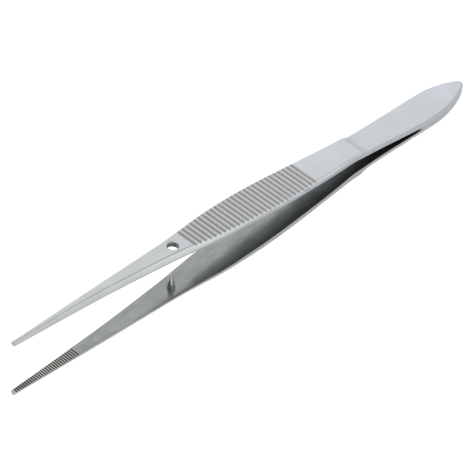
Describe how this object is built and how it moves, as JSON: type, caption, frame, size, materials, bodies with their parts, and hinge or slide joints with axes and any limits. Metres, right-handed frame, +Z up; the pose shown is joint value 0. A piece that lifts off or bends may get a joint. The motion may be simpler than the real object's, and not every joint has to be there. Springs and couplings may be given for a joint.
{
  "type": "thumb forceps",
  "caption": "Straight thumb forceps with slim serrated tips, a cross-grooved thumb grip, a welded spring tail and a guide pin that points at a hole in the facing arm.",
  "frame": {"origin": "on the table under the middle of the forceps' box, as it rests on its lower arm", "axes": "+X from the tips to the tail, +Y across the arms, +Z up from the lower arm to the upper arm"},
  "size_m": [0.116, 0.0076, 0.0143],
  "materials": {
    "satin_steel": "satin, glass-bead and belt finished stainless steel",
    "pin_steel": "fine turned stainless steel"
  },
  "bodies": {
    "root": {"upper_arm": "satin_steel", "lower_arm": "satin_steel", "guide_pin": "pin_steel"}
  },
  "joints": []
}
